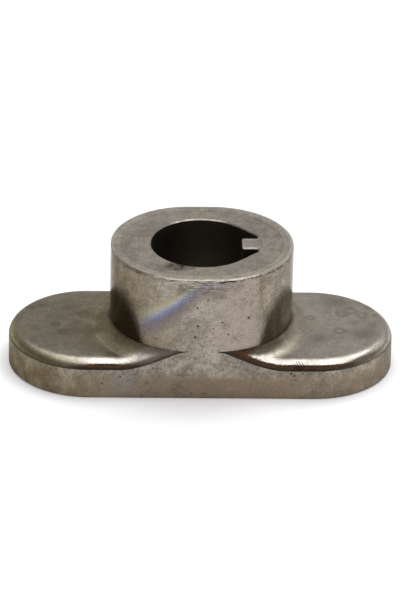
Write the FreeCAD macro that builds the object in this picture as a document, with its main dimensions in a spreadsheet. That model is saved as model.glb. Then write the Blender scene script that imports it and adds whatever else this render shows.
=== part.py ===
import FreeCAD, Part
import math
import os

import Sketcher

# One-piece pressed and sintered steel blade adapter: an obround plate whose long sides run flush
# into an obround boss of the same width, with a keyed bore right through both.
# Millimetres. +Z runs up the bore, +X points from the bore axis to the key, and z = 0 is the
# flat underside.

# Each row is an alias, its value and what it measures.
SIZES = [
    ("shaft_diameter", 22.225, "crankshaft the bore slides onto"),
    ("shaft_clearance", 0.075, "slip clearance on the shaft diameter"),
    ("keyway_width", 4.7625, "keyway cut in the crankshaft"),
    ("keyway_depth", 2.64, "crankshaft surface to the keyway floor"),
    ("key_side_clearance", 0.05, "gap at each side of the key"),
    ("key_end_clearance", 0.13, "gap between the key end and the keyway floor"),
    ("key_corner", 0.35, "radius on the two corners of the key"),
    ("relief_depth", 0.9, "how far the blunt end of each relief pocket lies outside the bore wall"),
    ("relief_angle", 45.0, "degrees from the key to where a relief flank leaves the bore"),
    ("relief_corner", 0.4, "radius in the corners of the relief pockets"),
    ("plate_length", 83.5, "overall length of the plate"),
    ("plate_width", 34.8, "width shared by plate and boss"),
    ("plate_thickness", 8.8, "flat top of the plate above the underside"),
    ("boss_length", 39.7, "length of the boss along the plate"),
    ("overall_height", 28.9, "boss top above the underside"),
    ("root_radius", 4.5, "concave blend between plate and boss"),
    ("root_inset", 0.38, "how far the boss wall cuts the blend off before it turns upright"),
    ("rim_radius", 2.75, "rounding along the top edge of the plate"),
    ("rim_overlap", 0.1, "how far the die wall cuts the rounding off before it turns upright"),
    ("trim_margin", 8.0, "stock outside the die wall before it is trimmed away"),
    ("edge_break", 0.25, "small bevel at the boss top and at both ends of the bore"),
    ("foot_break", 0.3, "small bevel round the underside"),
]
BORE_DIAMETER = "(Sizes.shaft_diameter + Sizes.shaft_clearance)"
KEY_WIDTH = "(Sizes.keyway_width - 2 * Sizes.key_side_clearance)"
KEY_END = "(Sizes.shaft_diameter / 2 - Sizes.keyway_depth + Sizes.key_end_clearance)"
RELIEF_END = "(%s / 2 + Sizes.relief_depth)" % BORE_DIAMETER

# Obround outlines about the bore axis: which length they take, and how far they are pushed out
# all round, as a count of one of the sizes.
STOCK = ("plate_length", 1, "trim_margin")
BEYOND_STOCK = ("plate_length", 2, "trim_margin")
ROUGH = ("plate_length", 1, "rim_overlap")
PLATE = ("plate_length", 0, "rim_overlap")
CORE = ("boss_length", -1, "root_inset")
BOSS = ("boss_length", 0, "root_inset")

# Sketch point positions, the sketch's own origin and X axis, and the slack for telling which
# edges lie on a given wall or level.
START, END, CENTRE = 1, 2, 3
ORIGIN = (-1, 1)
X_AXIS = -1
SLACK = 0.01


def size(alias):
    return float(sheet.get(alias))


def bore_radius():
    return (size("shaft_diameter") + size("shaft_clearance")) / 2


def key_end():
    """Bore axis to the end face of the key."""
    return size("shaft_diameter") / 2 - size("keyway_depth") + size("key_end_clearance")


def relief_end():
    """Bore axis to the blunt ends of the relief pockets."""
    return bore_radius() + size("relief_depth")


def outline_size(outline):
    """Length and width of an outline as numbers."""
    length, count, step = outline
    growth = 2 * count * size(step)
    return size(length) + growth, size("plate_width") + growth


def outside(point, outline):
    """Distance of a point outside an outline, negative inside it."""
    length, width = outline_size(outline)
    beyond_centre = max(abs(point.x) - (length - width) / 2, 0.0)
    return math.hypot(beyond_centre, point.y) - width / 2


def new_sketch(name):
    """An empty sketch on the underside plane."""
    sketch = body.newObject("Sketcher::SketchObject", name)
    sketch.AttachmentSupport = [(underside, "")]
    sketch.MapMode = "FlatFace"
    return sketch


def bind(sketch, name, constraint, expression):
    """Add a named dimension and drive it from the sheet."""
    index = sketch.addConstraint(constraint)
    sketch.renameConstraint(index, name)
    sketch.setExpression("Constraints." + name, expression)


def add_line(sketch, start, end):
    return sketch.addGeometry(Part.LineSegment(FreeCAD.Vector(*start, 0), FreeCAD.Vector(*end, 0)))


def add_arc(sketch, centre, radius, first, last):
    circle = Part.Circle(FreeCAD.Vector(*centre, 0), FreeCAD.Vector(0, 0, 1), radius)
    return sketch.addGeometry(Part.ArcOfCircle(circle, math.radians(first), math.radians(last)))


def add_obround(sketch, name, outline):
    """A stadium about the bore axis, its ends true half circles."""
    length, width = outline_size(outline)
    r = width / 2
    c = length / 2 - r
    right = add_arc(sketch, (c, 0), r, -90, 90)
    left = add_arc(sketch, (-c, 0), r, 90, 270)
    back = add_line(sketch, (c, r), (-c, r))
    front = add_line(sketch, (-c, -r), (c, -r))
    sketch.addConstraint([
        Sketcher.Constraint("Tangent", right, END, back, START),
        Sketcher.Constraint("Tangent", back, END, left, START),
        Sketcher.Constraint("Tangent", left, END, front, START),
        Sketcher.Constraint("Tangent", front, END, right, START),
        Sketcher.Constraint("Equal", right, left),
        Sketcher.Constraint("PointOnObject", right, CENTRE, X_AXIS),
        Sketcher.Constraint("Symmetric", right, CENTRE, left, CENTRE, *ORIGIN),
    ])
    length_alias, count, step = outline
    bind(sketch, name + "_width", Sketcher.Constraint("Diameter", right, width),
         "Sizes.plate_width + %d * Sizes.%s" % (2 * count, step))
    apart = Sketcher.Constraint("DistanceX", left, CENTRE, right, CENTRE, 2 * c)
    bind(sketch, name + "_centres", apart, "Sizes.%s - Sizes.plate_width" % length_alias)


def add_keyed_bore(sketch):
    """The bore circle, two straight flanks off it into the relief pockets, and the key between."""
    r = bore_radius()
    angle = size("relief_angle")
    cosine = math.cos(math.radians(angle))
    sine = math.sin(math.radians(angle))
    reach = relief_end()
    flank = (r - reach * cosine) / sine
    end = key_end()
    half = size("keyway_width") / 2 - size("key_side_clearance")
    wall = add_arc(sketch, (0, 0), r, angle, 360 - angle)
    corners = [(r * cosine, -r * sine), (reach, -flank), (reach, -half), (end, -half),
               (end, half), (reach, half), (reach, flank), (r * cosine, r * sine)]
    lines = [add_line(sketch, a, b) for a, b in zip(corners, corners[1:])]
    front_flank, front_end, front_side, key_face, back_side, back_end, back_flank = lines
    for before, after in zip(lines, lines[1:]):
        sketch.addConstraint(Sketcher.Constraint("Coincident", before, END, after, START))
    sketch.addConstraint([
        Sketcher.Constraint("Coincident", wall, CENTRE, *ORIGIN),
        Sketcher.Constraint("Tangent", wall, END, front_flank, START),
        Sketcher.Constraint("Tangent", back_flank, END, wall, START),
        Sketcher.Constraint("Vertical", front_end),
        Sketcher.Constraint("Vertical", back_end),
        Sketcher.Constraint("Horizontal", front_side),
        Sketcher.Constraint("Horizontal", back_side),
        Sketcher.Constraint("Symmetric", key_face, START, key_face, END, X_AXIS),
        Sketcher.Constraint("Vertical", front_end, END, back_end, START),
    ])
    bind(sketch, "bore", Sketcher.Constraint("Diameter", wall, 2 * r), BORE_DIAMETER)
    leave = BORE_DIAMETER + " / 2 * cos(Sizes.relief_angle)"
    for name, measured, expression in [
        ("back_leave", (*ORIGIN, wall, START, r * cosine), leave),
        ("front_leave", (*ORIGIN, wall, END, r * cosine), leave),
        ("relief_end", (*ORIGIN, back_end, START, reach), RELIEF_END),
        ("key_end", (*ORIGIN, key_face, END, end), KEY_END),
    ]:
        bind(sketch, name, Sketcher.Constraint("DistanceX", *measured), expression)
    across = Sketcher.Constraint("DistanceY", key_face, START, key_face, END, 2 * half)
    bind(sketch, "key_width", across, KEY_WIDTH)


def pad(name, sketch, height):
    feature = body.newObject("PartDesign::Pad", name)
    feature.Profile = sketch
    feature.setExpression("Length", height)
    doc.recompute()
    return feature


def cut_through(name, sketch):
    """Cut a sketch on the underside plane up through the whole body."""
    before = body.Shape.Volume
    feature = body.newObject("PartDesign::Pocket", name)
    feature.Profile = sketch
    feature.Type = "ThroughAll"
    feature.Reversed = True
    doc.recompute()
    if not feature.Shape.Volume < before:
        raise RuntimeError(name + " removed nothing")
    return feature


def points_on(edge):
    """The two ends of an edge and its middle."""
    middle = (edge.FirstParameter + edge.LastParameter) / 2
    return [edge.valueAt(at) for at in (edge.FirstParameter, middle, edge.LastParameter)]


def on_level(edge, level):
    return all(abs(p.z - level) < SLACK for p in points_on(edge))


def on_wall(edge, outline):
    return all(abs(outside(p, outline)) < SLACK for p in points_on(edge))


def upright_at(edge, x):
    """Whether an edge runs straight up at this distance from the bore axis towards the key."""
    first, middle, last = points_on(edge)
    return abs(middle.x - x) < SLACK and math.hypot(last.x - first.x, last.y - first.y) < SLACK


def in_mouth(edge):
    """Whether an edge belongs to the bore and its pockets, not to an outer outline."""
    return all(outside(p, CORE) < -SLACK for p in points_on(edge))


def dress(kind, name, base, wanted, expression):
    """Round or bevel every edge of the base that passes the test."""
    feature = body.newObject("PartDesign::" + kind, name)
    names = ["Edge%d" % i for i, edge in enumerate(base.Shape.Edges, start=1) if wanted(edge)]
    if not names:
        raise RuntimeError(name + " found no edge")
    feature.Base = (base, names)
    feature.setExpression("Radius" if kind == "Fillet" else "Size", expression)
    doc.recompute()
    return feature


doc = FreeCAD.newDocument("blade_adapter")
sheet = doc.addObject("Spreadsheet::Sheet", "Sizes")
for row, (alias, value, meaning) in enumerate(SIZES, start=1):
    sheet.set("A%d" % row, alias)
    sheet.set("B%d" % row, str(value))
    sheet.set("C%d" % row, meaning)
    sheet.setAlias("B%d" % row, alias)
doc.recompute()

body = doc.addObject("PartDesign::Body", "blade_adapter")
body.Label = "blade_adapter"
underside = next(f for f in body.Origin.OriginFeatures if f.Role == "XY_Plane")

# Stock plate, wider than the die so that the root blend can run out past the long sides.
stock_sketch = new_sketch("StockSketch")
add_obround(stock_sketch, "stock", STOCK)
pad("Stock", stock_sketch, "Sizes.plate_thickness")

# Core of the root blend, set in from the boss wall, with the concave blend round its foot.
core_sketch = new_sketch("CoreSketch")
add_obround(core_sketch, "core", CORE)
core = pad("Core", core_sketch, "Sizes.plate_thickness + 2 * Sizes.root_radius")
dress("Fillet", "RootBlend", core,
      lambda edge: on_level(edge, size("plate_thickness")) and on_wall(edge, CORE),
      "Sizes.root_radius")

# Trim just outside the die wall, round the top edge where it rises with the blend, then trim to
# the die wall itself, which leaves the fine crease below the rounding.
rough_sketch = new_sketch("RoughTrimSketch")
add_obround(rough_sketch, "keep", ROUGH)
add_obround(rough_sketch, "stock", BEYOND_STOCK)
rough = cut_through("RoughTrim", rough_sketch)
dress("Fillet", "RimRounding", rough,
      lambda edge: on_wall(edge, ROUGH) and min(p.z for p in points_on(edge)) > SLACK,
      "Sizes.rim_radius")
die_sketch = new_sketch("DieTrimSketch")
add_obround(die_sketch, "keep", PLATE)
add_obround(die_sketch, "stock", BEYOND_STOCK)
cut_through("DieTrim", die_sketch)

# Boss, flush with the plate front and back, and the bevels round its top and the underside.
boss_sketch = new_sketch("BossSketch")
add_obround(boss_sketch, "boss", BOSS)
boss = pad("Boss", boss_sketch, "Sizes.overall_height")
boss_break = dress("Chamfer", "BossBreak", boss,
                   lambda edge: on_level(edge, size("overall_height")), "Sizes.edge_break")
dress("Chamfer", "FootBreak", boss_break, lambda edge: on_level(edge, 0), "Sizes.foot_break")

# Keyed bore with its relief pockets, the small radii up the pocket and key corners, and the
# bevel round both of its mouths.
bore_sketch = new_sketch("BoreSketch")
add_keyed_bore(bore_sketch)
bore = cut_through("KeyedBore", bore_sketch)
relief = dress("Fillet", "ReliefCorners", bore,
               lambda edge: upright_at(edge, relief_end()), "Sizes.relief_corner")
key = dress("Fillet", "KeyCorners", relief,
            lambda edge: upright_at(edge, key_end()), "Sizes.key_corner")
dress("Chamfer", "BoreBreak", key,
      lambda edge: in_mouth(edge) and (on_level(edge, 0) or on_level(edge, size("overall_height"))),
      "Sizes.edge_break")

for made in doc.Objects:
    if "Invalid" in made.State or "Error" in made.State:
        raise RuntimeError("%s did not build: %s" % (made.Label, made.getStatusString()))
if body.Shape.isNull() or not body.Shape.isValid() or len(body.Shape.Solids) != 1:
    raise RuntimeError("the body is not one valid solid")
os.makedirs("parts", exist_ok=True)
body.Shape.exportStep("parts/%s.step" % body.Label)
print(body.Label, "volume mm3 %.1f" % body.Shape.Volume, "faces", len(body.Shape.Faces))
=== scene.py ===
import math
from types import SimpleNamespace

import bmesh
import bpy
import numpy as np
from mathutils import Matrix, Vector, kdtree


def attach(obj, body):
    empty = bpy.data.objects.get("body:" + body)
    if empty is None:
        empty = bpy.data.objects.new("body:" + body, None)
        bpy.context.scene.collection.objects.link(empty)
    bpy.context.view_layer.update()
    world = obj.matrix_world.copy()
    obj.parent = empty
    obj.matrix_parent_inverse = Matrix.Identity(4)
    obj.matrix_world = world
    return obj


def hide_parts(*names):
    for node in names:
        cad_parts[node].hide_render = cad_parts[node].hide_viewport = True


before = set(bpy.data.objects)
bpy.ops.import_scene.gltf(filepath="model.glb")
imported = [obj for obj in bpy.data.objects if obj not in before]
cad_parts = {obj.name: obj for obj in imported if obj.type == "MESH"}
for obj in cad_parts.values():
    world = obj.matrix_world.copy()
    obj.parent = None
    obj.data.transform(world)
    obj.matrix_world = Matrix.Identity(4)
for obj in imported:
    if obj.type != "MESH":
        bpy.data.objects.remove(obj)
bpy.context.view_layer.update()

bl_info = {
    "name": "Mower blade adapter",
    "version": (1, 0, 0),
    "blender": (4, 5, 0),
    "location": "3D View > Sidebar > Adapter",
    "description": "Finishes the pressed steel blade adapter and sets a plain studio round it",
    "category": "Object",
}

NODE = "blade_adapter"
PIECE = "adapter_body"
MM = 0.001
SQUARE_CM = 1e-4
# The long side of the photograph's frame in pixels, which the camera is matched to.
PHOTO_LONG_SIDE = 601
WHITE = (1, 1, 1, 1)


def linear(hex_colour):
    """An sRGB hex colour as linear red, green and blue."""
    channels = [int(hex_colour[i:i + 2], 16) / 255 for i in (1, 3, 5)]
    return tuple(c / 12.92 if c <= 0.04045 else ((c + 0.055) / 1.055) ** 2.4 for c in channels)


def colour_property(name, description, hex_colour):
    return bpy.props.FloatVectorProperty(
        name=name, description=description, subtype="COLOR", size=3, min=0, max=1,
        default=linear(hex_colour))


def length_property(name, description, millimetres):
    return bpy.props.FloatProperty(
        name=name, description=description, subtype="DISTANCE", unit="LENGTH", min=0, precision=5,
        default=millimetres * MM)


def place_property(name, description, millimetres):
    return bpy.props.FloatVectorProperty(
        name=name, description=description, subtype="TRANSLATION", unit="LENGTH", size=3,
        default=[coordinate * MM for coordinate in millimetres])


def angle_property(name, description, degrees):
    return bpy.props.FloatProperty(
        name=name, description=description, subtype="ANGLE", default=math.radians(degrees))


def number_property(name, description, default):
    return bpy.props.FloatProperty(name=name, description=description, min=0, default=default)


class BodySettings(bpy.types.PropertyGroup):
    """Sizes of the pressed body's surface detail."""
    pit_grain: length_property("Pit mesh", "Longest triangle side in a pit", 0.12)
    edge_grain: length_property("Edge mesh", "Longest triangle side along the boss's rubbed edge", 0.4)
    open_grain: length_property("Open mesh", "Longest triangle side on the open faces", 1.0)
    hidden_grain: length_property("Hidden mesh", "Longest triangle side underneath and in the bore", 3.0)
    wave_size: length_property("Wave size", "Width of the slow unevenness of the pressed faces", 5.0)
    wave_depth: length_property("Wave depth", "Depth of the slow unevenness", 0.02)
    pit_radius: length_property("Pit radius", "Radius of the largest scattered pits", 0.2)
    pit_depth: length_property("Pit depth", "Depth of a pit", 0.14)
    pit_density: number_property("Pit density", "Pits to the square centimetre on the boss wall", 1.6)
    seed: bpy.props.IntProperty(name="Seed", description="Where the scattered pits fall", default=7)


class SteelSettings(bpy.types.PropertyGroup):
    """Colours of the sintered steel."""
    light: colour_property("Light steel", "Clean pressed steel", "#A89F94")
    dark: colour_property("Dark steel", "Steel under a thin oil film", "#857C71")
    wing: colour_property("Tumbled steel", "Cooler grey of the tumbled upper faces", "#B0AAA2")
    warm: colour_property("Warm oxide", "Brown oxide towards the foot of the wall", "#877660")
    straw: colour_property("Straw film", "Tint of the film over the end away from the key", "#D4CFB2")
    haze: colour_property("Straw haze", "The same film where it is thin, on the flat", "#D0CDC3")
    # Round the boss's foot this tint also paints shade over the wing.
    olive_film_and_shade: colour_property("Olive film", "Tint of the films on the boss and round its foot", "#CFC9B8")
    # The blend shade is painted shade in the steep part of the blend, by the boss's foot.
    shade: colour_property("Blend shade", "Dull oxide in the steep part of the blend", "#A09A8C")
    smear: colour_property("Pale smear", "Greenish film drawn down the ends of the wall", "#ACA691")
    blue: colour_property("Blue haze", "Heat tint on the wall", "#8C8E96")
    blush: colour_property("Bright steel", "Scrubbed patch on the front of the boss", "#A0938A")
    stain: colour_property("Stain", "Tint of dried rings and blots on the upper faces", "#C9C3BF")
    scuff: colour_property("Scuff", "Rubbing marks, scratches and small marks on the boss", "#5C564F")
    # Besides oil and dust, this colour paints shade along the creases.
    grime_and_shade: colour_property("Grime", "Oil and dust in pits and creases", "#2C251D")
    # The worn edge colour is partly a painted highlight along the edges.
    wear_and_highlight: colour_property("Worn edge", "Steel rubbed bright along the edges", "#D0CBC2")
    grazing: colour_property("Grazing tint", "Tint of what the steel mirrors at a flat angle", "#D2D0CC")
    # Painted shade in the bore, laid on as a dark film.
    bore: colour_property("Bore film", "Dark oil left in the bore", "#635D51")


class StageSettings(bpy.types.PropertyGroup):
    """Camera and studio."""
    azimuth: angle_property("Azimuth", "Camera turn about Z, 0 looks along +Y", -1.65)
    elevation: angle_property("Elevation", "Camera height above the horizon", 27.98)
    roll: angle_property("Roll", "Camera roll", 1.22)
    distance: length_property("Distance", "Camera to target", 1400)
    focal_pixels: number_property("Focal length", "Focal length in pixels of the photograph", 6438)
    target: place_property("Target", "Point at the middle of the frame", (-0.134, 0, 14.75))
    box_width: length_property("Softbox width", "Size of the overhead softbox along X", 1150)
    box_depth: length_property("Softbox depth", "Size of the overhead softbox along Y", 1100)
    box_place: place_property("Softbox place", "Middle of the overhead softbox", (100, 100, 900))
    key_strength: number_property("Overhead light", "Radiance of the overhead softbox", 2.27)
    key_colour: colour_property("Overhead colour", "Cool white of the softbox", "#F8FBFF")
    floor_radius: length_property("Floor radius", "Radius of the round floor", 600)
    floor: colour_property("Floor", "Pale floor", "#F6F6F6")
    lift: number_property("Floor lift", "Light added to the floor near the part, as seen and mirrored", 0.1)
    panel: number_property("Panel", "Radiance of the pale panel behind on the right", 0.75)
    front: colour_property("Room front", "Dim room behind the camera", "#5E5850")
    front_middle: colour_property("Room front, middle", "Brown boards behind the camera", "#785A48")
    front_top: colour_property("Room front, top", "Dark room above the boards", "#332D29")
    left: colour_property("Room left", "Dark room to the left", "#68635A")
    right: colour_property("Room right", "Dim room to the right", "#8E8A82")
    back: colour_property("Room back", "Grey room behind the part", "#C2C1BE")


# Node trees

# The kinds of node used most. A Map Range takes a value, the start and end of the range that it comes
# from, and the start and end of the one that it goes to, which are 0 and 1 if left out.
MATH = "ShaderNodeMath"
VECTOR = "ShaderNodeVectorMath"
RANGE = "ShaderNodeMapRange"
MIX = "ShaderNodeMix"
NOISE = "ShaderNodeTexNoise"
# Settings of a Map Range that eases in and out.
SOFT = {"interpolation_type": "SMOOTHSTEP"}


def add(tree, kind, inputs=(), **settings):
    """Add a node with its settings and inputs. The inputs are a list in the order of the node's sockets,
    or a dictionary by name or number, of values, or of sockets or whole nodes to link from, where a
    node stands for its first output in use."""
    node = tree.nodes.new(kind)
    for name, value in settings.items():
        setattr(node, name, value)
    for key, value in inputs.items() if isinstance(inputs, dict) else enumerate(inputs):
        if isinstance(value, bpy.types.Node):
            value = next(socket for socket in value.outputs if socket.enabled)
        if isinstance(value, bpy.types.NodeSocket):
            tree.links.new(value, node.inputs[key])
        else:
            node.inputs[key].default_value = value
    return node


def empty_tree(owner):
    """The node tree of a material or world, with nothing in it yet."""
    owner.use_nodes = True
    owner.node_tree.nodes.clear()
    return owner.node_tree


# Mesh of the body

# How near in mm a point lies to the wall or the underside if it is on it, and to the plate's top.
ON_FACE = 0.01
ON_TOP = 0.001
MERGE_DISTANCE = 1e-7
# Points stand for the sharp edges this far apart, where the faces turn inwards at a crease, or
# outwards at an edge, by more than these angles.
EDGE_STEP = 0.2 * MM
CREASE_TURN = math.radians(15)
EDGE_TURN = math.radians(25)
# Bands in mm: finer mesh along the boss's edge, what still counts as the boss's top, and how far
# inside the boss's outline only the bore lies below that top.
EDGE_BAND = 0.6
TOP_BAND = 0.3
BORE_BAND = 2.5
# Pits on each face as a share of those on the boss wall, and the smallest pit as a share of the largest.
PIT_SHARES = {"boss_wall": 1.0, "die_wall": 0.3, "wing": 0.05, "boss_top": 0.1}
SMALLEST_PIT = 0.4
# The few deep pits that show on the front: x, z and radius in mm.
DEEP_PITS = [(-1.2, 22.1, 0.3), (-1.1, 17.7, 0.38), (-1.6, 15.0, 0.34), (4.2, 18.6, 0.26),
             (9.9, 19.0, 0.3), (5.5, 15.6, 0.26), (1.0, 24.0, 0.24), (20.0, 5.7, 0.26),
             (19.2, 6.3, 0.3), (21.7, 6.2, 0.24), (-21.5, 3.6, 0.2), (-17.6, 5.2, 0.22)]
# Roughness of the faces, and how much smoother the boss wall and the rim's polished stretch are.
WALL_ROUGHNESS = 0.45
WING_ROUGHNESS = 0.33
TOP_ROUGHNESS = 0.36
BOSS_POLISH = 0.3
RIM_POLISH = 0.2


class Sizes:
    """Main sizes of the adapter in millimetres, measured from the loaded solid."""

    def __init__(self, points):
        self.half_length, self.half_width, self.height = points.max(axis=0)
        high = points[points[:, 2] > 0.9 * self.height]
        self.boss_half_length = high[:, 0].max()
        self.boss_centre = self.boss_half_length - self.half_width
        # Both ends of the plate, clear of the blend at the foot of the boss.
        ends = points[np.abs(points[:, 0]) > (self.half_length + self.boss_half_length) / 2]
        self.plate_top = ends[:, 2].max()
        self.wall_top = ends[np.abs(self.outside_plate(ends)) < ON_FACE, 2].max()
        flat = ends[ends[:, 2] > self.plate_top - ON_TOP]
        self.rim_width = -self.outside_plate(flat).max()

    def outside(self, points, half_length):
        """Distance outside an obround of this half length and the shared width."""
        beyond = np.maximum(np.abs(points[:, 0]) - (half_length - self.half_width), 0)
        return np.hypot(beyond, points[:, 1]) - self.half_width

    def outside_plate(self, points):
        return self.outside(points, self.half_length)

    def outside_boss(self, points):
        return self.outside(points, self.boss_half_length)


def read(collection, name, width, kind=np.float32):
    """One property of a mesh collection as an array with a row for each element."""
    values = np.empty(len(collection) * width, kind)
    collection.foreach_get(name, values)
    return values.reshape(-1, width) if width > 1 else values


def write_attribute(mesh, name, domain, values):
    attribute = mesh.attributes.new(name, "FLOAT", domain)
    attribute.data.foreach_set("value", np.ascontiguousarray(values, np.float32))


def smooth(values, low, high):
    """0 below low, 1 above high and a smooth rise between."""
    share = np.clip((values - low) / (high - low), 0, 1)
    return share * share * (3 - 2 * share)


def merged_triangles(source):
    """The solid's mesh as one closed skin of triangles that carry the solid's own normals."""
    mesh = source.data.copy()
    normals = read(source.data.corner_normals, "vector", 3)
    held = mesh.attributes.new("solid_normal", "FLOAT_VECTOR", "CORNER")
    held.data.foreach_set("vector", normals.ravel())
    skin = bmesh.new()
    skin.from_mesh(mesh)
    bpy.data.meshes.remove(mesh)
    bmesh.ops.remove_doubles(skin, verts=skin.verts, dist=MERGE_DISTANCE)
    bmesh.ops.triangulate(skin, faces=skin.faces)
    return skin


def sharp_edges(skin, low, high):
    """A search tree of points along the edges whose faces turn by an angle in this range."""
    found = []
    for edge in skin.edges:
        if low < edge.calc_face_angle_signed(0) < high:
            start, end = (v.co for v in edge.verts)
            count = max(2, int((end - start).length / EDGE_STEP))
            found += [start.lerp(end, i / count) for i in range(count + 1)]
    tree = kdtree.KDTree(len(found))
    for index, point in enumerate(found):
        tree.insert(point, index)
    tree.balance()
    return tree


# How a triangle with 1, 2 or 3 cut sides is divided: 0 to 2 are its corners, 3 to 5 the middles
# of the sides that follow them, and the cut sides come first.
DIVISIONS = {
    1: [(0, 3, 2), (3, 1, 2)],
    2: [(3, 1, 4), (0, 3, 4), (0, 4, 2)],
    3: [(0, 3, 5), (3, 1, 4), (5, 4, 2), (3, 4, 5)],
}


def refine(points, corners, normals, longest):
    """Halve triangle sides until none is longer than the limit where its middle lies."""
    while True:
        ends = np.sort(np.stack([corners, np.roll(corners, -1, axis=1)], axis=2), axis=2)
        keys, which = np.unique(ends[:, :, 0] * len(points) + ends[:, :, 1], return_inverse=True)
        which = which.reshape(-1, 3)
        first, second = points[keys // len(points)], points[keys % len(points)]
        middles = (first + second) / 2
        cut = np.linalg.norm(first - second, axis=1) > longest(middles)
        if not cut.any():
            return points, corners, normals
        middle_index = np.where(cut, len(points) + np.cumsum(cut) - 1, 0)
        points = np.vstack([points, middles[cut]])
        cut_sides = cut[which]
        number = cut_sides.sum(axis=1)
        new_corners, new_normals = [corners[number == 0]], [normals[number == 0]]
        for count, division in DIVISIONS.items():
            chosen = number == count
            sides = cut_sides[chosen]
            leading = np.argmax(sides & ~np.roll(sides, 1, axis=1), axis=1)
            order = (leading[:, None] + np.arange(3)) % 3
            own = np.take_along_axis(corners[chosen], order, axis=1)
            halves = np.take_along_axis(middle_index[which[chosen]], order, axis=1)
            facing = np.take_along_axis(normals[chosen], order[:, :, None], axis=1)
            between = (facing + np.roll(facing, -1, axis=1)) / 2
            all_corners = np.hstack([own, halves])
            all_normals = np.concatenate([facing, between], axis=1)
            for triangle in division:
                new_corners.append(all_corners[:, triangle])
                new_normals.append(all_normals[:, triangle])
        corners, normals = np.vstack(new_corners), np.vstack(new_normals)


def triangle_mesh(name, points, corners):
    """A mesh of these triangles."""
    mesh = bpy.data.meshes.new(name)
    mesh.vertices.add(len(points))
    mesh.vertices.foreach_set("co", points.astype(np.float32).ravel())
    mesh.loops.add(corners.size)
    mesh.loops.foreach_set("vertex_index", corners.astype(np.int32).ravel())
    mesh.polygons.add(len(corners))
    mesh.polygons.foreach_set("loop_start", np.arange(0, corners.size, 3, dtype=np.int32))
    mesh.update(calc_edges=True)
    return mesh


def geometry_tree(name, inputs):
    """A geometry node tree with these inputs, given by name and kind, and the sockets that bring them."""
    tree = bpy.data.node_groups.new(name, "GeometryNodeTree")
    tree.interface.new_socket("Geometry", in_out="INPUT", socket_type="NodeSocketGeometry")
    for socket_name, kind in inputs + [("Material", "Material")]:
        tree.interface.new_socket(socket_name, in_out="INPUT", socket_type="NodeSocket" + kind)
    tree.interface.new_socket("Geometry", in_out="OUTPUT", socket_type="NodeSocketGeometry")
    return tree, add(tree, "NodeGroupInput").outputs


def end_tree(tree, geometry, material):
    """Close a geometry node tree with real geometry of one material."""
    real = add(tree, "GeometryNodeRealizeInstances", {"Geometry": geometry})
    steel = add(tree, "GeometryNodeSetMaterial", {"Geometry": real, "Material": material})
    add(tree, "NodeGroupOutput", {0: steel})


def pits_tree(deep_pits):
    """Geometry nodes that scatter pits of random radius over the faces and join the deep ones."""
    tree, given = geometry_tree("Pits", [
        ("Pit radius", "Float"), ("Pit density", "Float"), ("Seed", "Int")])
    share = add(tree, "GeometryNodeInputNamedAttribute", {"Name": "pit_share"}, data_type="FLOAT")
    density = add(tree, MATH, [share, given["Pit density"]], operation="MULTIPLY")
    scatter = add(tree, "GeometryNodeDistributePointsOnFaces", {
        "Mesh": given["Geometry"], "Density": density, "Seed": given["Seed"]})
    smallest = add(tree, MATH, [given["Pit radius"], SMALLEST_PIT], operation="MULTIPLY")
    radius = add(tree, "FunctionNodeRandomValue", {
        2: smallest, 3: given["Pit radius"], "Seed": given["Seed"]}, data_type="FLOAT")
    sized = add(tree, "GeometryNodeSetPointRadius", {"Points": scatter, "Radius": radius})
    joined = add(tree, "GeometryNodeJoinGeometry", {"Geometry": sized})
    for place, reach in deep_pits:
        deep = add(tree, "GeometryNodePoints", {"Count": 1, "Position": place, "Radius": reach})
        tree.links.new(deep.outputs[0], joined.inputs[0])
    own_radius = add(tree, "GeometryNodeInputRadius")
    kept = add(tree, "GeometryNodeStoreNamedAttribute", {
        "Geometry": joined, "Name": "reach", "Value": own_radius}, data_type="FLOAT", domain="POINT")
    vertices = add(tree, "GeometryNodePointsToVertices", {0: kept})
    end_tree(tree, vertices, given["Material"])
    return tree


def pressed_surface_tree():
    """Geometry nodes that press slow unevenness and pits into the faces, always inwards."""
    tree, given = geometry_tree("Pressed surface", [
        ("Wave size", "Float"), ("Wave depth", "Float"), ("Pit depth", "Float"), ("Pits", "Object")])

    # Slow unevenness from noise, between nothing and the full depth.
    place = add(tree, "GeometryNodeInputPosition")
    scale = add(tree, MATH, [1.0, given["Wave size"]], operation="DIVIDE")
    wave = add(tree, NOISE, {"Vector": place, "Scale": scale, "Detail": 2.0})
    open_face = add(tree, "GeometryNodeInputNamedAttribute", {"Name": "open_face"}, data_type="FLOAT")
    for share in (given["Wave depth"], open_face):
        wave = add(tree, MATH, [wave, share], operation="MULTIPLY")

    # A bowl round the nearest pit.
    pits = add(tree, "GeometryNodeObjectInfo", {"Object": given["Pits"]}).outputs["Geometry"]
    near = add(tree, "GeometryNodeSampleNearest", {"Geometry": pits})
    middle = add(tree, "GeometryNodeSampleIndex", {"Geometry": pits, "Value": place, "Index": near},
                 data_type="FLOAT_VECTOR")
    own_reach = add(tree, "GeometryNodeInputNamedAttribute", {"Name": "reach"}, data_type="FLOAT")
    reach = add(tree, "GeometryNodeSampleIndex", {"Geometry": pits, "Value": own_reach, "Index": near},
                data_type="FLOAT")
    away = add(tree, VECTOR, [place, middle], operation="DISTANCE")
    bowl = add(tree, RANGE, [away, reach, 0.0], **SOFT)
    pit = add(tree, MATH, [bowl, given["Pit depth"]], operation="MULTIPLY")

    depth = add(tree, MATH, [wave, pit], operation="ADD")
    inwards = add(tree, MATH, [depth, -1.0], operation="MULTIPLY")
    normal = add(tree, "GeometryNodeInputNormal")
    offset = add(tree, VECTOR, {0: normal, "Scale": inwards}, operation="SCALE")
    kept = add(tree, "GeometryNodeStoreNamedAttribute", {
        "Geometry": given["Geometry"], "Name": "pit", "Value": bowl}, data_type="FLOAT", domain="POINT")
    moved = add(tree, "GeometryNodeSetPosition", {"Geometry": kept, "Offset": offset})
    end_tree(tree, moved, given["Material"])
    return tree


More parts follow.
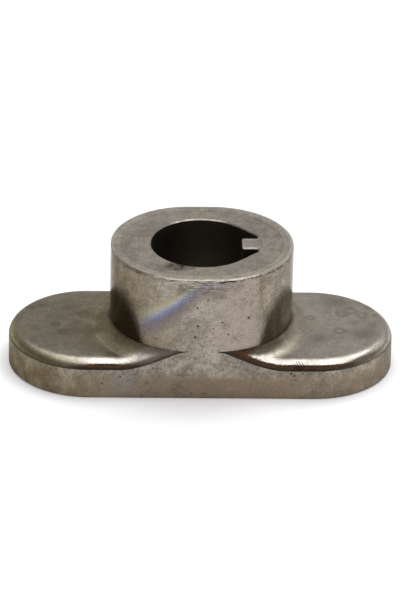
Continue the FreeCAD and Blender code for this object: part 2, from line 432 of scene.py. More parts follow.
def bake(piece, tree, values):
    """Run a node tree on a piece once and keep the result as its plain mesh."""
    modifier = piece.modifiers.new(tree.name, "NODES")
    modifier.node_group = tree
    for item in tree.interface.items_tree:
        if item.in_out == "INPUT" and item.name in values:
            modifier[item.identifier] = values[item.name]
    depsgraph = bpy.context.evaluated_depsgraph_get()
    mesh = bpy.data.meshes.new_from_object(piece.evaluated_get(depsgraph))
    piece.modifiers.remove(modifier)
    piece.data = mesh
    return mesh


class ADAPTER_OT_body(bpy.types.Operator):
    """Build the pressed steel body over the solid, with its pits, unevenness and finish"""
    bl_idname = "adapter.body"
    bl_label = "Pressed body"

    def execute(self, context):
        settings = context.scene.adapter_body
        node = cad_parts[NODE]
        sizes = Sizes(read(node.data.vertices, "co", 3) / MM)
        steel = sintered_steel(context.scene.adapter_steel, sizes)
        skin = merged_triangles(node)
        creases = sharp_edges(skin, -math.pi, -CREASE_TURN)
        edges = sharp_edges(skin, EDGE_TURN, math.pi)

        triangles = self.open_triangles(skin, sizes, settings)
        pits = self.pits(context, triangles, sizes, settings, steel)
        points, corners, normals = self.triangles_at_pits(triangles, pits.data, settings)
        mesh = triangle_mesh(PIECE, points, corners)
        self.mark_finish(mesh, sizes, normals[:, :, 2].ravel(), creases, edges)
        piece = bpy.data.objects.new(PIECE, mesh)
        context.collection.objects.link(piece)
        plain_normals = read(mesh.vertex_normals, "vector", 3)
        mesh = bake(piece, pressed_surface_tree(), {
            "Wave size": settings.wave_size, "Wave depth": settings.wave_depth,
            "Pit depth": settings.pit_depth, "Pits": pits, "Material": steel})
        bpy.data.objects.remove(pits)
        mesh.name = PIECE
        self.shade(mesh, normals.reshape(-1, 3), plain_normals)
        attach(piece, "root")
        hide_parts(NODE)
        return {"FINISHED"}

    def open_triangles(self, skin, sizes, settings):
        """The skin's triangles and their corners' normals, as fine as each face needs without pits."""
        def grain(middles):
            places = middles / MM
            boss = sizes.outside_boss(places)
            in_bore = (boss < -BORE_BAND) & (places[:, 2] < sizes.height - TOP_BAND)
            hidden = in_bore | (places[:, 2] < ON_FACE)
            at_edge = (np.abs(boss) < EDGE_BAND) & (places[:, 2] > sizes.height - EDGE_BAND)
            grains = np.where(at_edge, settings.edge_grain, settings.open_grain)
            return np.where(hidden, settings.hidden_grain, grains)

        coarse = bpy.data.meshes.new("coarse")
        skin.to_mesh(coarse)
        skin.free()
        triangles = refine(
            read(coarse.vertices, "co", 3).astype(float),
            read(coarse.loops, "vertex_index", 1, np.int32).astype(np.int64).reshape(-1, 3),
            read(coarse.attributes["solid_normal"].data, "vector", 3).reshape(-1, 3, 3), grain)
        bpy.data.meshes.remove(coarse)
        return triangles

    def pits(self, context, triangles, sizes, settings, steel):
        """An object whose vertices are the middles of the pits, each with its reach."""
        points, corners, _ = triangles
        mesh = triangle_mesh("pits", points, corners)
        zones = self.face_zones(mesh, sizes)
        pit_share = sum(share * zones[name] for name, share in PIT_SHARES.items())
        write_attribute(mesh, "pit_share", "FACE", pit_share[::3])
        pits = bpy.data.objects.new("pits", mesh)
        context.collection.objects.link(pits)
        bake(pits, pits_tree(self.deep_pits(sizes)), {
            "Pit radius": settings.pit_radius, "Pit density": settings.pit_density / SQUARE_CM,
            "Seed": settings.seed, "Material": steel})
        return pits

    def deep_pits(self, sizes):
        """Place and radius of each deep pit, set on the front wall."""
        placed = []
        for x, z, radius in DEEP_PITS:
            half_length = sizes.boss_half_length if z > sizes.plate_top else sizes.half_length
            beyond = max(abs(x) - (half_length - sizes.half_width), 0)
            y = -math.sqrt(sizes.half_width ** 2 - beyond ** 2)
            placed.append((Vector((x, y, z)) * MM, radius * MM))
        return placed

    def triangles_at_pits(self, triangles, pits, settings):
        """The same triangles, fine in the pits and less so step by step away from them."""
        places = read(pits.vertices, "co", 3)
        reaches = read(pits.attributes["reach"].data, "value", 1)

        def grain(middles):
            grains = np.full(len(middles), np.inf)
            for place, reach in zip(places, reaches):
                beyond = np.maximum(np.linalg.norm(middles - place, axis=1) - reach, 0)
                grains = np.minimum(grains, settings.pit_grain + beyond)
            return grains

        return refine(*triangles, grain)

    def face_zones(self, mesh, sizes):
        """How far each corner of each triangle belongs to each of the body's faces."""
        middles = np.repeat(read(mesh.polygons, "center", 3) / MM, 3, axis=0)
        rise = np.repeat(read(mesh.polygons, "normal", 3)[:, 2], 3)
        heights = read(mesh.vertices, "co", 3)[read(mesh.loops, "vertex_index", 1, np.int32), 2] / MM
        upright = np.abs(rise) < 0.2
        in_bore = sizes.outside_boss(middles) < -1
        outer = upright & ~in_bore
        on_boss = np.abs(sizes.outside_boss(middles)) < 0.1
        # The boss wall runs into the plate's wall between the two tips, where the finish changes slowly.
        joined = np.abs(sizes.outside_plate(middles)) < 0.1
        change = smooth(heights, sizes.plate_top - 2, sizes.plate_top + 5)
        boss_wall = outer * on_boss * np.where(joined, change, middles[:, 2] > sizes.plate_top)
        boss_top = (middles[:, 2] > sizes.height - TOP_BAND) & ~upright
        return {
            "boss_wall": boss_wall, "die_wall": outer - boss_wall, "boss_top": boss_top,
            "wing": (rise > 0.2) & ~boss_top & ~in_bore, "bore": in_bore & ~boss_top & (rise > -0.9)}

    def mark_finish(self, mesh, sizes, lean, creases, edges):
        """Attributes that tell the finish which face it is on, its lean, which is the upward part of the
        solid's normal, its roughness, and how near a crease or edge it is."""
        zones = self.face_zones(mesh, sizes)
        wing = zones["wing"]
        points = read(mesh.vertices, "co", 3) / MM
        places = points[read(mesh.loops, "vertex_index", 1, np.int32)]
        x = places[:, 0]
        tilt = 1 - lean
        inside = smooth(-sizes.outside_plate(places), sizes.rim_width - 0.8, sizes.rim_width + 0.8)
        rim = wing * smooth(tilt, 0.01, 0.15) * (1 - inside)
        blend = wing * smooth(tilt, 0.0005, 0.03) * inside
        # Painted shade darkens the wing slowly towards the foot of the boss, away from the key. It is
        # carried in the blend attribute with the blend.
        painted_shade_by_boss = 0.75 * wing * inside * (1 - smooth(sizes.outside_boss(places), 5, 14)) * smooth(-x, 4, 12)
        # The rim is polished along the front, longer low down, and dull at both ends and at the far tip.
        further = 4 * smooth(tilt, 0.3, 0.6)
        dull = 0.28 * smooth(-x - further, 21.5, 27) + 0.1 * smooth(x, 30, 36)
        dull += 0.26 * smooth(x - further, -20, -14) * (x < 0)
        # The blend is duller away from the key and polished near the tip beside it.
        near_tip = (x > 0) * (1 - smooth(x, 12, 20))
        blend_change = 0.04 + 0.2 * smooth(-x, 2, 10) - 0.14 * near_tip
        roughness = np.where(wing, WING_ROUGHNESS, WALL_ROUGHNESS) - BOSS_POLISH * zones["boss_wall"]
        roughness += rim * (dull - RIM_POLISH) + blend * blend_change
        roughness[zones["boss_top"]] = TOP_ROUGHNESS
        zones.update(blend=np.maximum(blend, painted_shade_by_boss), roughness=roughness, lean=lean)
        for name, values in zones.items():
            write_attribute(mesh, name, "CORNER", values)

        # The unevenness stops short of the flat underside.
        write_attribute(mesh, "open_face", "POINT", smooth(points[:, 2], 0.3, 1.0))
        to_crease, to_edge = [
            np.array([tree.find(point * MM)[2] for point in points]) / MM for tree in (creases, edges)]
        write_attribute(mesh, "crease", "POINT", 1 - smooth(to_crease, 0.0, 1.2))
        # Edges are worn round the top of the boss and at the key, and carry a painted highlight there.
        by_key = (points[:, 0] > 8) & (points[:, 0] < 12.2) & (np.abs(points[:, 1]) < 2.6)
        worn_and_lit_edges = ((sizes.outside_boss(points) > -1) | by_key) & (points[:, 2] > sizes.height - 0.1)
        write_attribute(mesh, "edge", "POINT", worn_and_lit_edges * (1 - smooth(to_edge, 0.0, 0.4)))

    def shade(self, mesh, normals, plain_normals):
        """Smooth shading from the solid's own normals, turned by what the surface detail turned."""
        turned = read(mesh.vertex_normals, "vector", 3) - plain_normals
        normals = normals + turned[read(mesh.loops, "vertex_index", 1, np.int32)]
        normals /= np.linalg.norm(normals, axis=1, keepdims=True)
        mesh.polygons.foreach_set("use_smooth", np.ones(len(mesh.polygons), bool))
        mesh.normals_split_custom_set(normals.tolist())


# Finish of the steel

# Attributes of the body that the finish reads.
ZONES = ("boss_wall", "die_wall", "boss_top", "wing", "bore", "blend", "roughness", "lean", "crease",
         "edge", "pit")
# Noise by the width and height of its patches in mm, its detail and its roughness: clouds to metal
# powder, then what is drawn out upright or level. Powder is too fine to show, so it is drawn coarser.
NOISES = {
    "clouds": (7.0, 7.0, 3.0, 0.6), "patches": (2.4, 2.4, 3.0, 0.6), "wobble": (0.9, 0.9, 3.0, 0.5),
    "grain": (0.5, 0.5, 3.0, 0.6), "powder": (0.2, 0.2, 3.0, 0.6), "smearing": (2.5, 4.0, 4.0, 0.5),
    "curtains": (3.57, 33.0, 2.0, 0.5), "scoring": (0.22, 6.7, 3.0, 0.5),
    "rubbing": (1.8, 0.5, 5.0, 0.7), "hairs": (1.4, 0.2, 2.0, 0.5)}
# The oil streak's middle line on the front of the boss: its height in mm at x 0, its slope, and the
# height at which it turns level.
STREAK_HEIGHT = 27.8
STREAK_SLOPE = 0.915
STREAK_TOP = 27.8
# Colours across the streak, from 0 below it to 1 above it.
STREAK_COLOURS = [(0.12, "#83786E"), (0.3, "#756C6D"), (0.42, "#736C7F"), (0.5, "#777A95"),
                  (0.59, "#8B8F9B"), (0.67, "#9F9F97"), (0.76, "#A39D86"), (0.86, "#998E75")]
# Dried rings and blots on the upper faces: x and y of the middle, radius and width in mm.
STAINS = [(33.0, 7.0, 1.2, 1.0), (35.4, 4.9, 1.0, 0.9), (31.0, 5.4, 0.9, 0.9), (36.8, 8.3, 0.0, 1.8),
          (24.0, 3.5, 0.8, 0.7), (30.3, -2.5, 1.1, 0.8), (33.5, 1.5, 0.0, 2.2), (37.6, 0.5, 0.0, 1.8),
          (35.0, -3.5, 0.0, 5.0), (30.0, 11.0, 0.0, 4.0), (28.4, 8.6, 0.0, 1.6), (38.2, 5.0, 0.0, 1.4),
          (26.0, -6.0, 0.0, 2.6), (-31.6, -0.2, 0.8, 0.9), (-29.9, -3.9, 0.8, 0.9),
          (-37.0, 7.7, 0.0, 1.7), (-34.6, 8.6, 0.0, 1.4), (-25.5, 4.5, 0.9, 1.0),
          (-33.0, 3.4, 0.0, 1.6), (-36.0, -2.0, 0.0, 2.2), (-23.0, -3.0, 0.0, 3.5),
          (-22.5, 3.0, 0.0, 3.0), (-29.0, 7.5, 0.0, 1.8), (-26.8, 0.8, 0.0, 1.5),
          (15.0, -2.6, 0.0, 1.0), (16.2, 3.6, 0.0, 1.4), (13.6, 6.0, 0.0, 1.2)]
# Brown marks on the front of the boss: x and z of the middle, radius and width in mm.
FRONT_MARKS = [(4.9, 17.9, 0.3, 1.3), (3.4, 20.1, 0.0, 1.4), (10.1, 19.1, 0.0, 1.0),
               (2.4, 24.8, 0.0, 1.6), (4.0, 25.2, 0.0, 1.5), (0.8, 25.8, 0.0, 1.2),
               (7.8, 27.0, 0.0, 1.4), (-2.2, 18.8, 0.0, 1.6), (6.8, 14.4, 0.0, 1.4),
               (-7.2, 26.6, 0.0, 1.3), (-5.0, 25.6, 0.0, 1.2), (10.4, 22.3, 0.0, 1.0)]
# The middle of the scratches on the rim, in mm.
NICK_PLACE = (20.9, -16.8, 7.6)
# The rubbed place in front of the bore: x and y of its middle in mm, and 1 over its reach along each axis.
SMUDGE_PLACE = (-5.7, -11.3)
SMUDGE_SHAPE = (0.17, 0.4, 0)
# The blue haze: x and z of its middle on the front wall, in mm.
HAZE_PLACE = (-16.8, 3.6)
# Width of the turning lines on the boss top, in mm, and depth of the relief, in metres.
TURNING_WIDTH = 0.4
RELIEF_DEPTH = 0.012 * MM


def film(tree, steel, colour, *covers, **settings):
    """The steel under a film of this colour where any of these covers lies, each the product of its
    shares."""
    deepest = None
    for cover, *shares in covers:
        for share in shares:
            cover = add(tree, MATH, [cover, share], operation="MULTIPLY")
        if deepest is not None:
            cover = add(tree, MATH, [deepest, cover], operation="MAXIMUM")
        deepest = cover
    return add(tree, MIX, {0: deepest, 6: steel, 7: colour}, data_type="RGBA", **settings)


def surface_layout(tree, sizes):
    """What the finish is laid out by: the sizes, the place in mm, the zones and the noise."""
    place = add(tree, "ShaderNodeTexCoord").outputs["Object"]
    mm = add(tree, VECTOR, {0: place, "Scale": 1 / MM}, operation="SCALE")
    at = SimpleNamespace(sizes=sizes, mm=mm)
    at.x, at.y, at.z = add(tree, "ShaderNodeSeparateXYZ", {0: mm}).outputs
    at.aside = add(tree, MATH, [at.x], operation="ABSOLUTE")
    for name in ZONES:
        setattr(at, name, add(tree, "ShaderNodeAttribute", attribute_name=name).outputs["Fac"])
    at.upper = add(tree, MATH, [at.wing, at.boss_top], operation="ADD")
    at.outer = add(tree, MATH, [at.boss_wall, at.die_wall], operation="ADD")
    facing = add(tree, RANGE, [at.y, 0.0, -4.0])
    at.front = add(tree, MATH, [facing, at.boss_wall], operation="MULTIPLY")

    for name, (width, height, detail, roughness) in NOISES.items():
        drawn = add(tree, VECTOR, [mm, (1 / width, 1 / width, 1 / height)], operation="MULTIPLY")
        setattr(at, name, add(tree, NOISE, {
            "Vector": drawn, "Scale": 1.0, "Detail": detail, "Roughness": roughness}))
    mottle = add(tree, MIX, {0: 0.5, 2: at.clouds, 3: at.patches})
    at.mottle = add(tree, MIX, {0: 0.35, 2: mottle, 3: at.grain})
    at.speckle = add(tree, MIX, {0: 0.5, 2: at.grain, 3: at.powder})
    at.patchy = add(tree, RANGE, [at.mottle, 0.34, 0.55])
    at.marks = add(tree, RANGE, [at.rubbing, 0.46, 0.56])
    return at


def plain_steel(tree, at, tint):
    """Mottled steel, a cooler and more even grey on the tumbled upper faces."""
    spread = add(tree, RANGE, [at.mottle, 0.42, 0.58])
    steel = film(tree, tint.dark, tint.light, [spread])
    cool = add(tree, MATH, [at.wing, 0.25], operation="MULTIPLY")
    cool = add(tree, MATH, [at.upper, 0.3, cool], operation="MULTIPLY_ADD")
    return film(tree, steel, tint.wing, [cool])


def wall_oxide(tree, steel, at, tint):
    """Brown oxide that grows patchily towards the foot of the wall."""
    ragged = add(tree, MATH, [at.patches, 2.0, at.z], operation="MULTIPLY_ADD")
    low = add(tree, RANGE, [ragged, at.sizes.wall_top + 0.6, at.sizes.wall_top - 1.2, 0.0, 0.9])
    return film(tree, steel, tint.warm, [low, at.patchy, at.die_wall])


def straw_film(tree, steel, at, tint):
    """A straw film over the end away from the key, thinner on the flat and on the wall."""
    wander = add(tree, MATH, [at.clouds, 8.0, at.x], operation="MULTIPLY_ADD")
    far_end = add(tree, RANGE, [wander, -17.0, -30.0], **SOFT)
    off_boss = add(tree, MATH, [at.wing, at.die_wall], operation="ADD")
    flat = add(tree, RANGE, [at.lean, 0.8, 0.99])
    thin = add(tree, MATH, [at.die_wall, 0.5, flat], operation="MULTIPLY_ADD", use_clamp=True)
    straw = film(tree, tint.straw, tint.haze, [thin])
    return film(tree, steel, straw, [far_end, off_boss], blend_type="MULTIPLY")


def blend_film_and_shade(tree, steel, at, tint):
    """A dull olive film in the blend round the foot of the boss, more away from the key, that also lays
    painted shade over the wing near the foot, and darker painted shade where the blend is steep at the
    sides."""
    keyless = add(tree, RANGE, [at.x, 12.0, -12.0, 0.6, 1.2])
    # The same olive tint paints the shade that the blend attribute carries over the wing.
    steel = film(tree, steel, tint.olive_film_and_shade, [keyless, at.blend], blend_type="MULTIPLY", clamp_factor=False)
    # Painted shade in the steep part of the blend at the sides, by the boss's foot.
    steep = add(tree, RANGE, [at.lean, 0.7, 0.25])
    sideways = add(tree, RANGE, [at.aside, 11.0, 16.0], **SOFT)
    return film(tree, steel, tint.shade, [steep, sideways, at.blend], blend_type="MULTIPLY")


def wall_smears(tree, steel, at, tint):
    """Pale smears down both ends of the wall and a blue haze beside the far end."""
    smears = add(tree, RANGE, [at.smearing, 0.45, 0.68, 0.0, 0.4])
    at_ends = add(tree, RANGE, [at.aside, 18.0, 26.0])
    steel = film(tree, steel, tint.smear, [smears, at_ends, at.die_wall])
    haze_x, haze_z = HAZE_PLACE
    away = add(tree, VECTOR, [at.mm, (haze_x, -at.sizes.half_width, haze_z)], operation="DISTANCE")
    haze = add(tree, RANGE, [away, 5.0, 0.0, 0.0, 0.35], **SOFT)
    return film(tree, steel, tint.blue, [haze])


def boss_films(tree, steel, at, tint):
    """A scrubbed patch on the front of the boss that ends in a sharp upright line, a stripe of film past
    it, a darker film on the side away from the key and upright stripes of film on both sides."""
    ragged = add(tree, MATH, [at.patches, 0.8, at.x], operation="MULTIPLY_ADD")
    left = add(tree, RANGE, [ragged, 1.0, 6.0], **SOFT)
    # The line is soft low down and sharp high up.
    outer, inner = [
        add(tree, RANGE, [at.z, 12.0, 24.0, foot, head]) for foot, head in ((15.5, 12.7), (10.0, 12.2))]
    right = add(tree, RANGE, [ragged, outer, inner])
    steel = film(tree, steel, tint.blush, [left, right, at.front, at.patchy])

    past = add(tree, RANGE, [ragged, 15.6, 12.6], **SOFT)
    stripe = add(tree, MATH, [past, right], operation="SUBTRACT", use_clamp=True)
    leaning = add(tree, MATH, [at.z, 0.4, at.x], operation="MULTIPLY_ADD")
    far = add(tree, RANGE, [leaning, 4.0, -6.5], **SOFT)
    cover = add(tree, MATH, [stripe, 0.8, far], operation="MULTIPLY_ADD")
    steel = film(tree, steel, tint.olive_film_and_shade, [cover, at.boss_wall], blend_type="MULTIPLY", clamp_factor=False)

    stripes = add(tree, RANGE, [at.curtains, 0.44, 0.6, 0.0, 0.45])
    on_sides = add(tree, RANGE, [at.aside, 7.0, 11.0])
    return film(tree, steel, tint.olive_film_and_shade, [stripes, on_sides, at.boss_wall], blend_type="MULTIPLY")


def oil_streak(tree, steel, at):
    """A streak of oil film that runs up the boss, straw above and violet below, its edges brushed
    upright by the scoring from the die."""
    line = add(tree, MATH, [at.x, STREAK_SLOPE, STREAK_HEIGHT], operation="MULTIPLY_ADD")
    line = add(tree, MATH, [line, STREAK_TOP, 1.5], operation="SMOOTH_MIN")
    across = add(tree, MATH, [at.z, line], operation="SUBTRACT")
    for noise, size in ((at.patches, 1.0), (at.scoring, 2.2)):
        across = add(tree, MATH, [noise, size, across], operation="MULTIPLY_ADD")
    tighter = add(tree, RANGE, [at.z, 18.0, 28.0, 1.0, 1.7])
    across = add(tree, MATH, [across, tighter], operation="MULTIPLY")
    place = add(tree, RANGE, [across, -3.3, 7.2])
    rainbow = add(tree, "ShaderNodeValToRGB", {"Fac": place})
    ramp = rainbow.color_ramp.elements
    ramp[0].color = (*linear(STREAK_COLOURS[0][1]), 0)
    ramp[1].color = (*linear(STREAK_COLOURS[-1][1]), 0)
    for position, hex_colour in STREAK_COLOURS:
        ramp.new(position).color = (*linear(hex_colour), 1)
    begins = add(tree, RANGE, [at.x, -14.5, -9.5])
    ends = add(tree, RANGE, [at.x, 6.0, -5.0])
    return film(tree, steel, rainbow.outputs["Color"], [begins, ends, at.front, rainbow.outputs["Alpha"]])


def rubbing_marks(tree, steel, at, tint):
    """Level rubbing marks under the rim of the boss and short level scratches all over the boss wall.
    Gives the steel and how far it is rubbed."""
    scuff = add(tree, MATH, [at.front, at.marks], operation="MULTIPLY")
    for value, start, end in ((at.z, 23.0, 27.0), (at.x, -7.5, -4.5), (at.x, 9.5, 4.0)):
        share = add(tree, RANGE, [value, start, end], **SOFT)
        scuff = add(tree, MATH, [scuff, share], operation="MULTIPLY")
    scuff = add(tree, MATH, [scuff, 0.7], operation="MULTIPLY")
    steel = film(tree, steel, tint.scuff, [scuff])
    hairs = add(tree, RANGE, [at.hairs, 0.6, 0.7, 0.0, 0.35])
    return film(tree, steel, tint.scuff, [hairs, at.boss_wall], blend_type="MULTIPLY"), scuff


def dried_marks(tree, at, marks, plane, shake):
    """Where any of these marks lies on a plane: rings of a radius and width round their middles, or
    blots, with shaken outlines."""
    wobble = at.wobble.outputs["Color"]
    shaken = add(tree, VECTOR, [wobble, Vector(plane) * shake, at.mm], operation="MULTIPLY_ADD")
    place = add(tree, VECTOR, [shaken, plane], operation="MULTIPLY")
    covered = 0.0
    for across, along, radius, width in marks:
        middle = [on * (part + shake / 2) for on, part in zip(plane, (across, along, along))]
        away = add(tree, VECTOR, [place, middle], operation="DISTANCE")
        off_ring = add(tree, MATH, [away, radius], operation="SUBTRACT")
        off_ring = add(tree, MATH, [off_ring], operation="ABSOLUTE")
        ring = add(tree, RANGE, [off_ring, width, 0.0], **SOFT)
        covered = add(tree, MATH, [covered, ring], operation="MAXIMUM")
    return covered


def dried_stains(tree, steel, at, tint):
    """Dried rings and blots on the upper faces and small brown marks on the front of the boss."""
    stains = dried_marks(tree, at, STAINS, (1, 1, 0), 1.5)
    broken = add(tree, RANGE, [at.grain, 0.3, 0.6, 0.2, 0.8])
    steel = film(tree, steel, tint.stain, [stains, at.upper, broken], blend_type="MULTIPLY")
    spots = dried_marks(tree, at, FRONT_MARKS, (1, 0, 1), 1.1)
    spotty = add(tree, RANGE, [at.speckle, 0.44, 0.54, 0.0, 0.7])
    return film(tree, steel, tint.scuff, [spots, at.front, spotty])


def turned_top(tree, steel, at):
    """Turning lines on the boss top, with a paler band along its outer edge and a groove inside that."""
    bend = add(tree, MATH, [at.aside, at.sizes.boss_centre], operation="SUBTRACT")
    bend = add(tree, MATH, [bend, 0.0], operation="MAXIMUM")
    out = add(tree, "ShaderNodeCombineXYZ", {0: bend, 1: at.y})
    radius = add(tree, VECTOR, [out], operation="LENGTH")
    lines = add(tree, NOISE, {"W": radius, "Scale": 1 / TURNING_WIDTH, "Detail": 3.0},
                noise_dimensions="1D")
    lined = add(tree, RANGE, [lines, 0.3, 0.7, 0.88, 1.06])
    band = add(tree, RANGE, [radius, at.sizes.half_width - 2.2, at.sizes.half_width - 1.8, 1.04, 1.24])
    off_line = add(tree, MATH, [radius, at.sizes.half_width - 2.4], operation="SUBTRACT")
    off_line = add(tree, MATH, [off_line], operation="ABSOLUTE")
    groove = add(tree, RANGE, [off_line, 0.0, 0.3, 0.85, 1.0])
    turned = lined
    for share in (band, groove):
        turned = add(tree, MATH, [turned, share], operation="MULTIPLY")
    turned = add(tree, MIX, {0: at.boss_top, 2: 1.0, 3: turned})
    return add(tree, VECTOR, {0: steel, "Scale": turned}, operation="SCALE")


def powder_grain(tree, steel, at):
    """Powder grain in the colour, soft clouds instead on the tumbled faces, blotches on the die wall."""
    speckled = add(tree, RANGE, [at.speckle, 0.36, 0.64, 0.73, 1.1])
    clouded = add(tree, RANGE, [at.mottle, 0.42, 0.58, 0.86, 1.16])
    evened = add(tree, MATH, [at.upper, 0.7], operation="MULTIPLY")
    texture = add(tree, MIX, {0: evened, 2: speckled, 3: clouded})
    blotched = add(tree, RANGE, [at.mottle, 0.4, 0.6, 0.82, 1.06])
    blotched = add(tree, MIX, {0: at.die_wall, 2: 1.0, 3: blotched})
    texture = add(tree, MATH, [texture, blotched], operation="MULTIPLY")
    return add(tree, VECTOR, {0: steel, "Scale": texture}, operation="SCALE")


def dirty_scratches(tree, steel, at, tint):
    """A few slanting scratches across the bright rim and dirty rubbing marks in front of the bore."""
    away = add(tree, VECTOR, [at.mm, NICK_PLACE], operation="DISTANCE")
    nick = add(tree, RANGE, [away, 1.6, 0.9])
    slant = add(tree, MATH, [at.z, 0.9, at.x], operation="MULTIPLY_ADD")
    strokes = add(tree, MATH, [slant, 0.3], operation="PINGPONG")
    strokes = add(tree, RANGE, [strokes, 0.17, 0.24])
    steel = film(tree, steel, tint.grime_and_shade, [nick, strokes, at.wing])
    off = add(tree, VECTOR, [at.mm, (*SMUDGE_PLACE, at.sizes.height)], operation="SUBTRACT")
    off = add(tree, VECTOR, [off, SMUDGE_SHAPE], operation="MULTIPLY")
    off = add(tree, VECTOR, [off], operation="LENGTH")
    smudge = add(tree, RANGE, [off, 1.0, 0.2], **SOFT)
    streaky = add(tree, RANGE, [at.rubbing, 0.42, 0.55, 0.3, 0.95])
    return film(tree, steel, tint.grime_and_shade, [smudge, streaky, at.boss_top])


def dirt_wear_and_painted_light(tree, steel, at, tint):
    """Painted shade in the bore, grime in pores, pits, the trim line and under the boss's edge, painted
    shade along the creases, and edges worn bright, most near the key, with a painted highlight along them."""
    # Painted shade darkens the bore.
    steel = film(tree, steel, tint.bore, [at.bore])
    pores = add(tree, RANGE, [at.grain, 0.6, 0.7, 0.0, 0.4])
    pits = add(tree, MATH, [at.pit, 1.6], operation="MULTIPLY", use_clamp=True)
    # Painted shade along the creases, away from the tips.
    crease = add(tree, MATH, [at.crease, 4.0], operation="POWER")
    past_tip = add(tree, RANGE, [at.aside, 4.0, 9.0, 0.0, 0.7])
    trim = add(tree, RANGE, [at.lean, 0.5, 0.3])
    under = add(tree, RANGE, [at.z, at.sizes.height - 1.0, at.sizes.height - 0.5])
    steel = film(tree, steel, tint.grime_and_shade, [pores, at.outer], [pits], [crease, past_tip], [trim, at.wing],
                 [under, at.boss_wall, at.marks])
    # Worn edges, lightened in part as a painted highlight.
    wear_and_highlight = add(tree, RANGE, [at.speckle, 0.38, 0.56])
    keyward = add(tree, RANGE, [at.x, -16.0, 8.0, 0.25, 1.0])
    return film(tree, steel, tint.wear_and_highlight, [at.edge, wear_and_highlight, keyward])


def sintered_steel(colours, sizes):
    """Pressed and sintered steel, tumbled and lightly oiled: a dull warm grey that mirrors softly, mottled
    with oil stains, darker in its pores, with painted shade in its creases and bore, and brighter along
    worn edges that carry a painted highlight."""
    material = bpy.data.materials.new("Sintered steel, tumbled")
    tree = empty_tree(material)
    at = surface_layout(tree, sizes)
    names = SteelSettings.__annotations__
    tint = SimpleNamespace(**{name: (*getattr(colours, name), 1) for name in names})
    steel = plain_steel(tree, at, tint)
    for finish in (wall_oxide, straw_film, blend_film_and_shade, wall_smears, boss_films):
        steel = finish(tree, steel, at, tint)
    steel = oil_streak(tree, steel, at)
    steel, scuff = rubbing_marks(tree, steel, at, tint)
    steel = dried_stains(tree, steel, at, tint)
    steel = turned_top(tree, steel, at)
    steel = powder_grain(tree, steel, at)
    steel = dirty_scratches(tree, steel, at, tint)
    steel = dirt_wear_and_painted_light(tree, steel, at, tint)

    # Gloss is uneven with the mottling, and lost in pits and rubbing marks.
    uneven = add(tree, RANGE, [at.mottle, 0.3, 0.7, 0.07, -0.07])
    rough = add(tree, MATH, [at.roughness, uneven], operation="ADD")
    for share, rise in ((at.pit, 0.3), (scuff, 0.12)):
        rough = add(tree, MATH, [share, rise, rough], operation="MULTIPLY_ADD")

    # Relief: press grain and powder everywhere, upright scoring from the die on the walls.
    scored = add(tree, MATH, [at.scoring, at.outer], operation="MULTIPLY")
    height = at.powder
    for form, share in ((at.grain, 1.5), (scored, 0.8)):
        height = add(tree, MATH, [form, share, height], operation="MULTIPLY_ADD")
    relief = add(tree, "ShaderNodeBump", {"Height": height, "Distance": RELIEF_DEPTH, "Strength": 1.0})
    shader = add(tree, "ShaderNodeBsdfPrincipled", {
        "Base Color": steel, "Metallic": 1.0, "Specular Tint": tint.grazing, "Roughness": rough,
        "Normal": relief})
    add(tree, "ShaderNodeOutputMaterial", {"Surface": shader})
    return material


# Stage

# Distances from the bore's axis, in metres, between which the floor's lift grows to white.
LIFT_START = 0.12
LIFT_END = 0.5
# Towards the pale panel, and how squarely a direction has to face it to see its edge and its middle.
PANEL_DIRECTION = (0.58, 0.55, 0.6)
PANEL_EDGE = 0.92
PANEL_MIDDLE = 0.98
# Power of an area lamp to the square metre, for a radiance of 1.
LAMP_POWER = 4


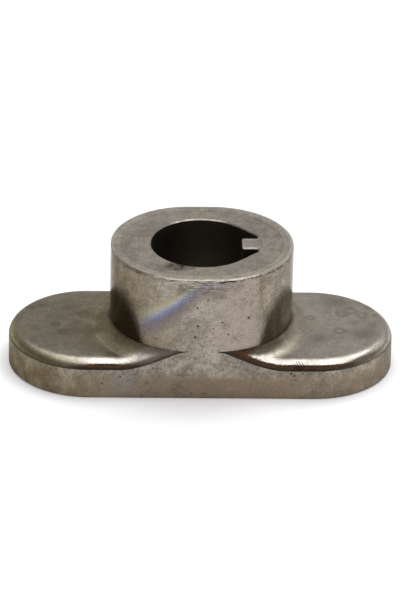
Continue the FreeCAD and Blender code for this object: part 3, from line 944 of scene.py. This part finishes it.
class ADAPTER_OT_stage(bpy.types.Operator):
    """Set the pale floor, the soft overhead light, the dim room and the camera"""
    bl_idname = "adapter.stage"
    bl_label = "Studio"

    def execute(self, context):
        settings = context.scene.adapter_stage
        self.floor(context, settings)
        self.light(context, settings)
        self.room(context, settings)
        self.camera(context, settings)
        context.scene.view_settings.view_transform = "Standard"
        return {"FINISHED"}

    def floor(self, context, settings):
        """A round floor of matt paper that goes over into white away from the part, as seen and as the
        steel mirrors it."""
        mesh = bpy.data.meshes.new("floor")
        body = bmesh.new()
        bmesh.ops.create_circle(body, cap_ends=True, segments=64, radius=settings.floor_radius)
        body.to_mesh(mesh)
        body.free()
        floor = bpy.data.objects.new("floor", mesh)
        context.collection.objects.link(floor)
        material = bpy.data.materials.new("Matt paper, pale")
        tree = empty_tree(material)
        paper = add(tree, "ShaderNodeBsdfDiffuse", {"Color": (*settings.floor, 1)})
        rays = add(tree, "ShaderNodeLightPath").outputs
        seen = rays["Is Camera Ray"]
        for kind in ("Is Glossy Ray", "Is Transmission Ray"):
            seen = add(tree, MATH, [seen, rays[kind]], operation="MAXIMUM")
        place = add(tree, "ShaderNodeTexCoord").outputs["Object"]
        away = add(tree, VECTOR, [place], operation="LENGTH")
        level = add(tree, RANGE, [away, LIFT_START, LIFT_END, settings.lift, 1.0])
        lift = add(tree, MATH, [seen, level], operation="MULTIPLY")
        glow = add(tree, "ShaderNodeEmission", {"Strength": lift})
        both = add(tree, "ShaderNodeAddShader", {0: paper, 1: glow})
        add(tree, "ShaderNodeOutputMaterial", {"Surface": both})
        mesh.materials.append(material)

    def light(self, context, settings):
        """A large softbox overhead, a little behind the part and to its right."""
        lamp = bpy.data.lights.new("softbox", "AREA")
        lamp.shape = "RECTANGLE"
        lamp.color = settings.key_colour
        lamp.size = settings.box_width
        lamp.size_y = settings.box_depth
        lamp.energy = settings.key_strength * LAMP_POWER * lamp.size * lamp.size_y
        box = bpy.data.objects.new("softbox", lamp)
        box.location = settings.box_place
        context.collection.objects.link(box)

    def room(self, context, settings):
        """A pale horizon under a dim room, darkest high up behind the camera, with one pale panel."""
        world = bpy.data.worlds.new("room")
        context.scene.world = world
        tree = empty_tree(world)
        towards = add(tree, "ShaderNodeTexCoord").outputs["Generated"]
        axes = add(tree, "ShaderNodeSeparateXYZ", {0: towards}).outputs
        # Behind the camera the room changes with height.
        front = (*settings.front, 1)
        for start, end, colour in [(0.3, 0.42, settings.front_middle), (0.68, 0.82, settings.front_top)]:
            share = add(tree, RANGE, [axes["Z"], start, end])
            front = add(tree, MIX, {0: share, 6: front, 7: (*colour, 1)}, data_type="RGBA")
        # The walls go over into each other, and down into the white of the horizon.
        walls = (*settings.left, 1)
        for axis, start, end, colour in [("X", -0.4, 0.4, (*settings.right, 1)), ("Y", -0.2, -0.5, front),
                                         ("Y", 0.1, 0.7, (*settings.back, 1))]:
            share = add(tree, RANGE, [axes[axis], start, end], **SOFT)
            walls = add(tree, MIX, {0: share, 6: walls, 7: colour}, data_type="RGBA")
        facing = add(tree, VECTOR, [towards, PANEL_DIRECTION], operation="DOT_PRODUCT")
        panel = add(tree, RANGE, [facing, PANEL_EDGE, PANEL_MIDDLE, 0.0, settings.panel], **SOFT)
        walls = add(tree, MIX, {0: panel, 6: walls, 7: WHITE}, data_type="RGBA",
                    blend_type="ADD", clamp_factor=False)
        above = add(tree, RANGE, [axes["Z"], 0.0, 0.3], **SOFT)
        sky = add(tree, MIX, {0: above, 6: WHITE, 7: walls}, data_type="RGBA")
        light = add(tree, "ShaderNodeBackground", {"Color": sky, "Strength": 1.0})
        add(tree, "ShaderNodeOutputWorld", {"Surface": light})

    def camera(self, context, settings):
        """A long lens at the photograph's viewing angle."""
        data = bpy.data.cameras.new("camera")
        data.lens = data.sensor_width * settings.focal_pixels / PHOTO_LONG_SIDE
        turn, lift = settings.azimuth, settings.elevation
        back = Vector((math.sin(turn) * math.cos(lift), -math.cos(turn) * math.cos(lift), math.sin(lift)))
        right = Vector((0, 0, 1)).cross(back).normalized()
        up = back.cross(right)
        cosine, sine = math.cos(settings.roll), math.sin(settings.roll)
        axes = Matrix((right * cosine + up * sine, up * cosine - right * sine, back)).transposed()
        camera = bpy.data.objects.new("camera", data)
        where = Vector(settings.target) + back * settings.distance
        camera.matrix_world = Matrix.Translation(where) @ axes.to_4x4()
        context.collection.objects.link(camera)
        context.scene.camera = camera


class ADAPTER_PT_panel(bpy.types.Panel):
    """Lists the adapter's operators and settings"""
    bl_label = "Blade adapter"
    bl_idname = "ADAPTER_PT_panel"
    bl_space_type = "VIEW_3D"
    bl_region_type = "UI"
    bl_category = "Adapter"

    def draw(self, context):
        scene = context.scene
        for operator, settings in [(ADAPTER_OT_body, scene.adapter_body), (None, scene.adapter_steel),
                                   (ADAPTER_OT_stage, scene.adapter_stage)]:
            box = self.layout.box()
            if operator:
                box.operator(operator.bl_idname)
            for name in settings.__annotations__:
                box.prop(settings, name)


CLASSES = (BodySettings, SteelSettings, StageSettings, ADAPTER_OT_body, ADAPTER_OT_stage, ADAPTER_PT_panel)
GROUPS = {"adapter_body": BodySettings, "adapter_steel": SteelSettings, "adapter_stage": StageSettings}


def register():
    for cls in CLASSES:
        bpy.utils.register_class(cls)
    for name, group in GROUPS.items():
        setattr(bpy.types.Scene, name, bpy.props.PointerProperty(type=group))


def unregister():
    for name in GROUPS:
        delattr(bpy.types.Scene, name)
    for cls in reversed(CLASSES):
        bpy.utils.unregister_class(cls)


def main():
    register()
    bpy.ops.adapter.body()
    bpy.ops.adapter.stage()


if __name__ == "__main__":
    main()
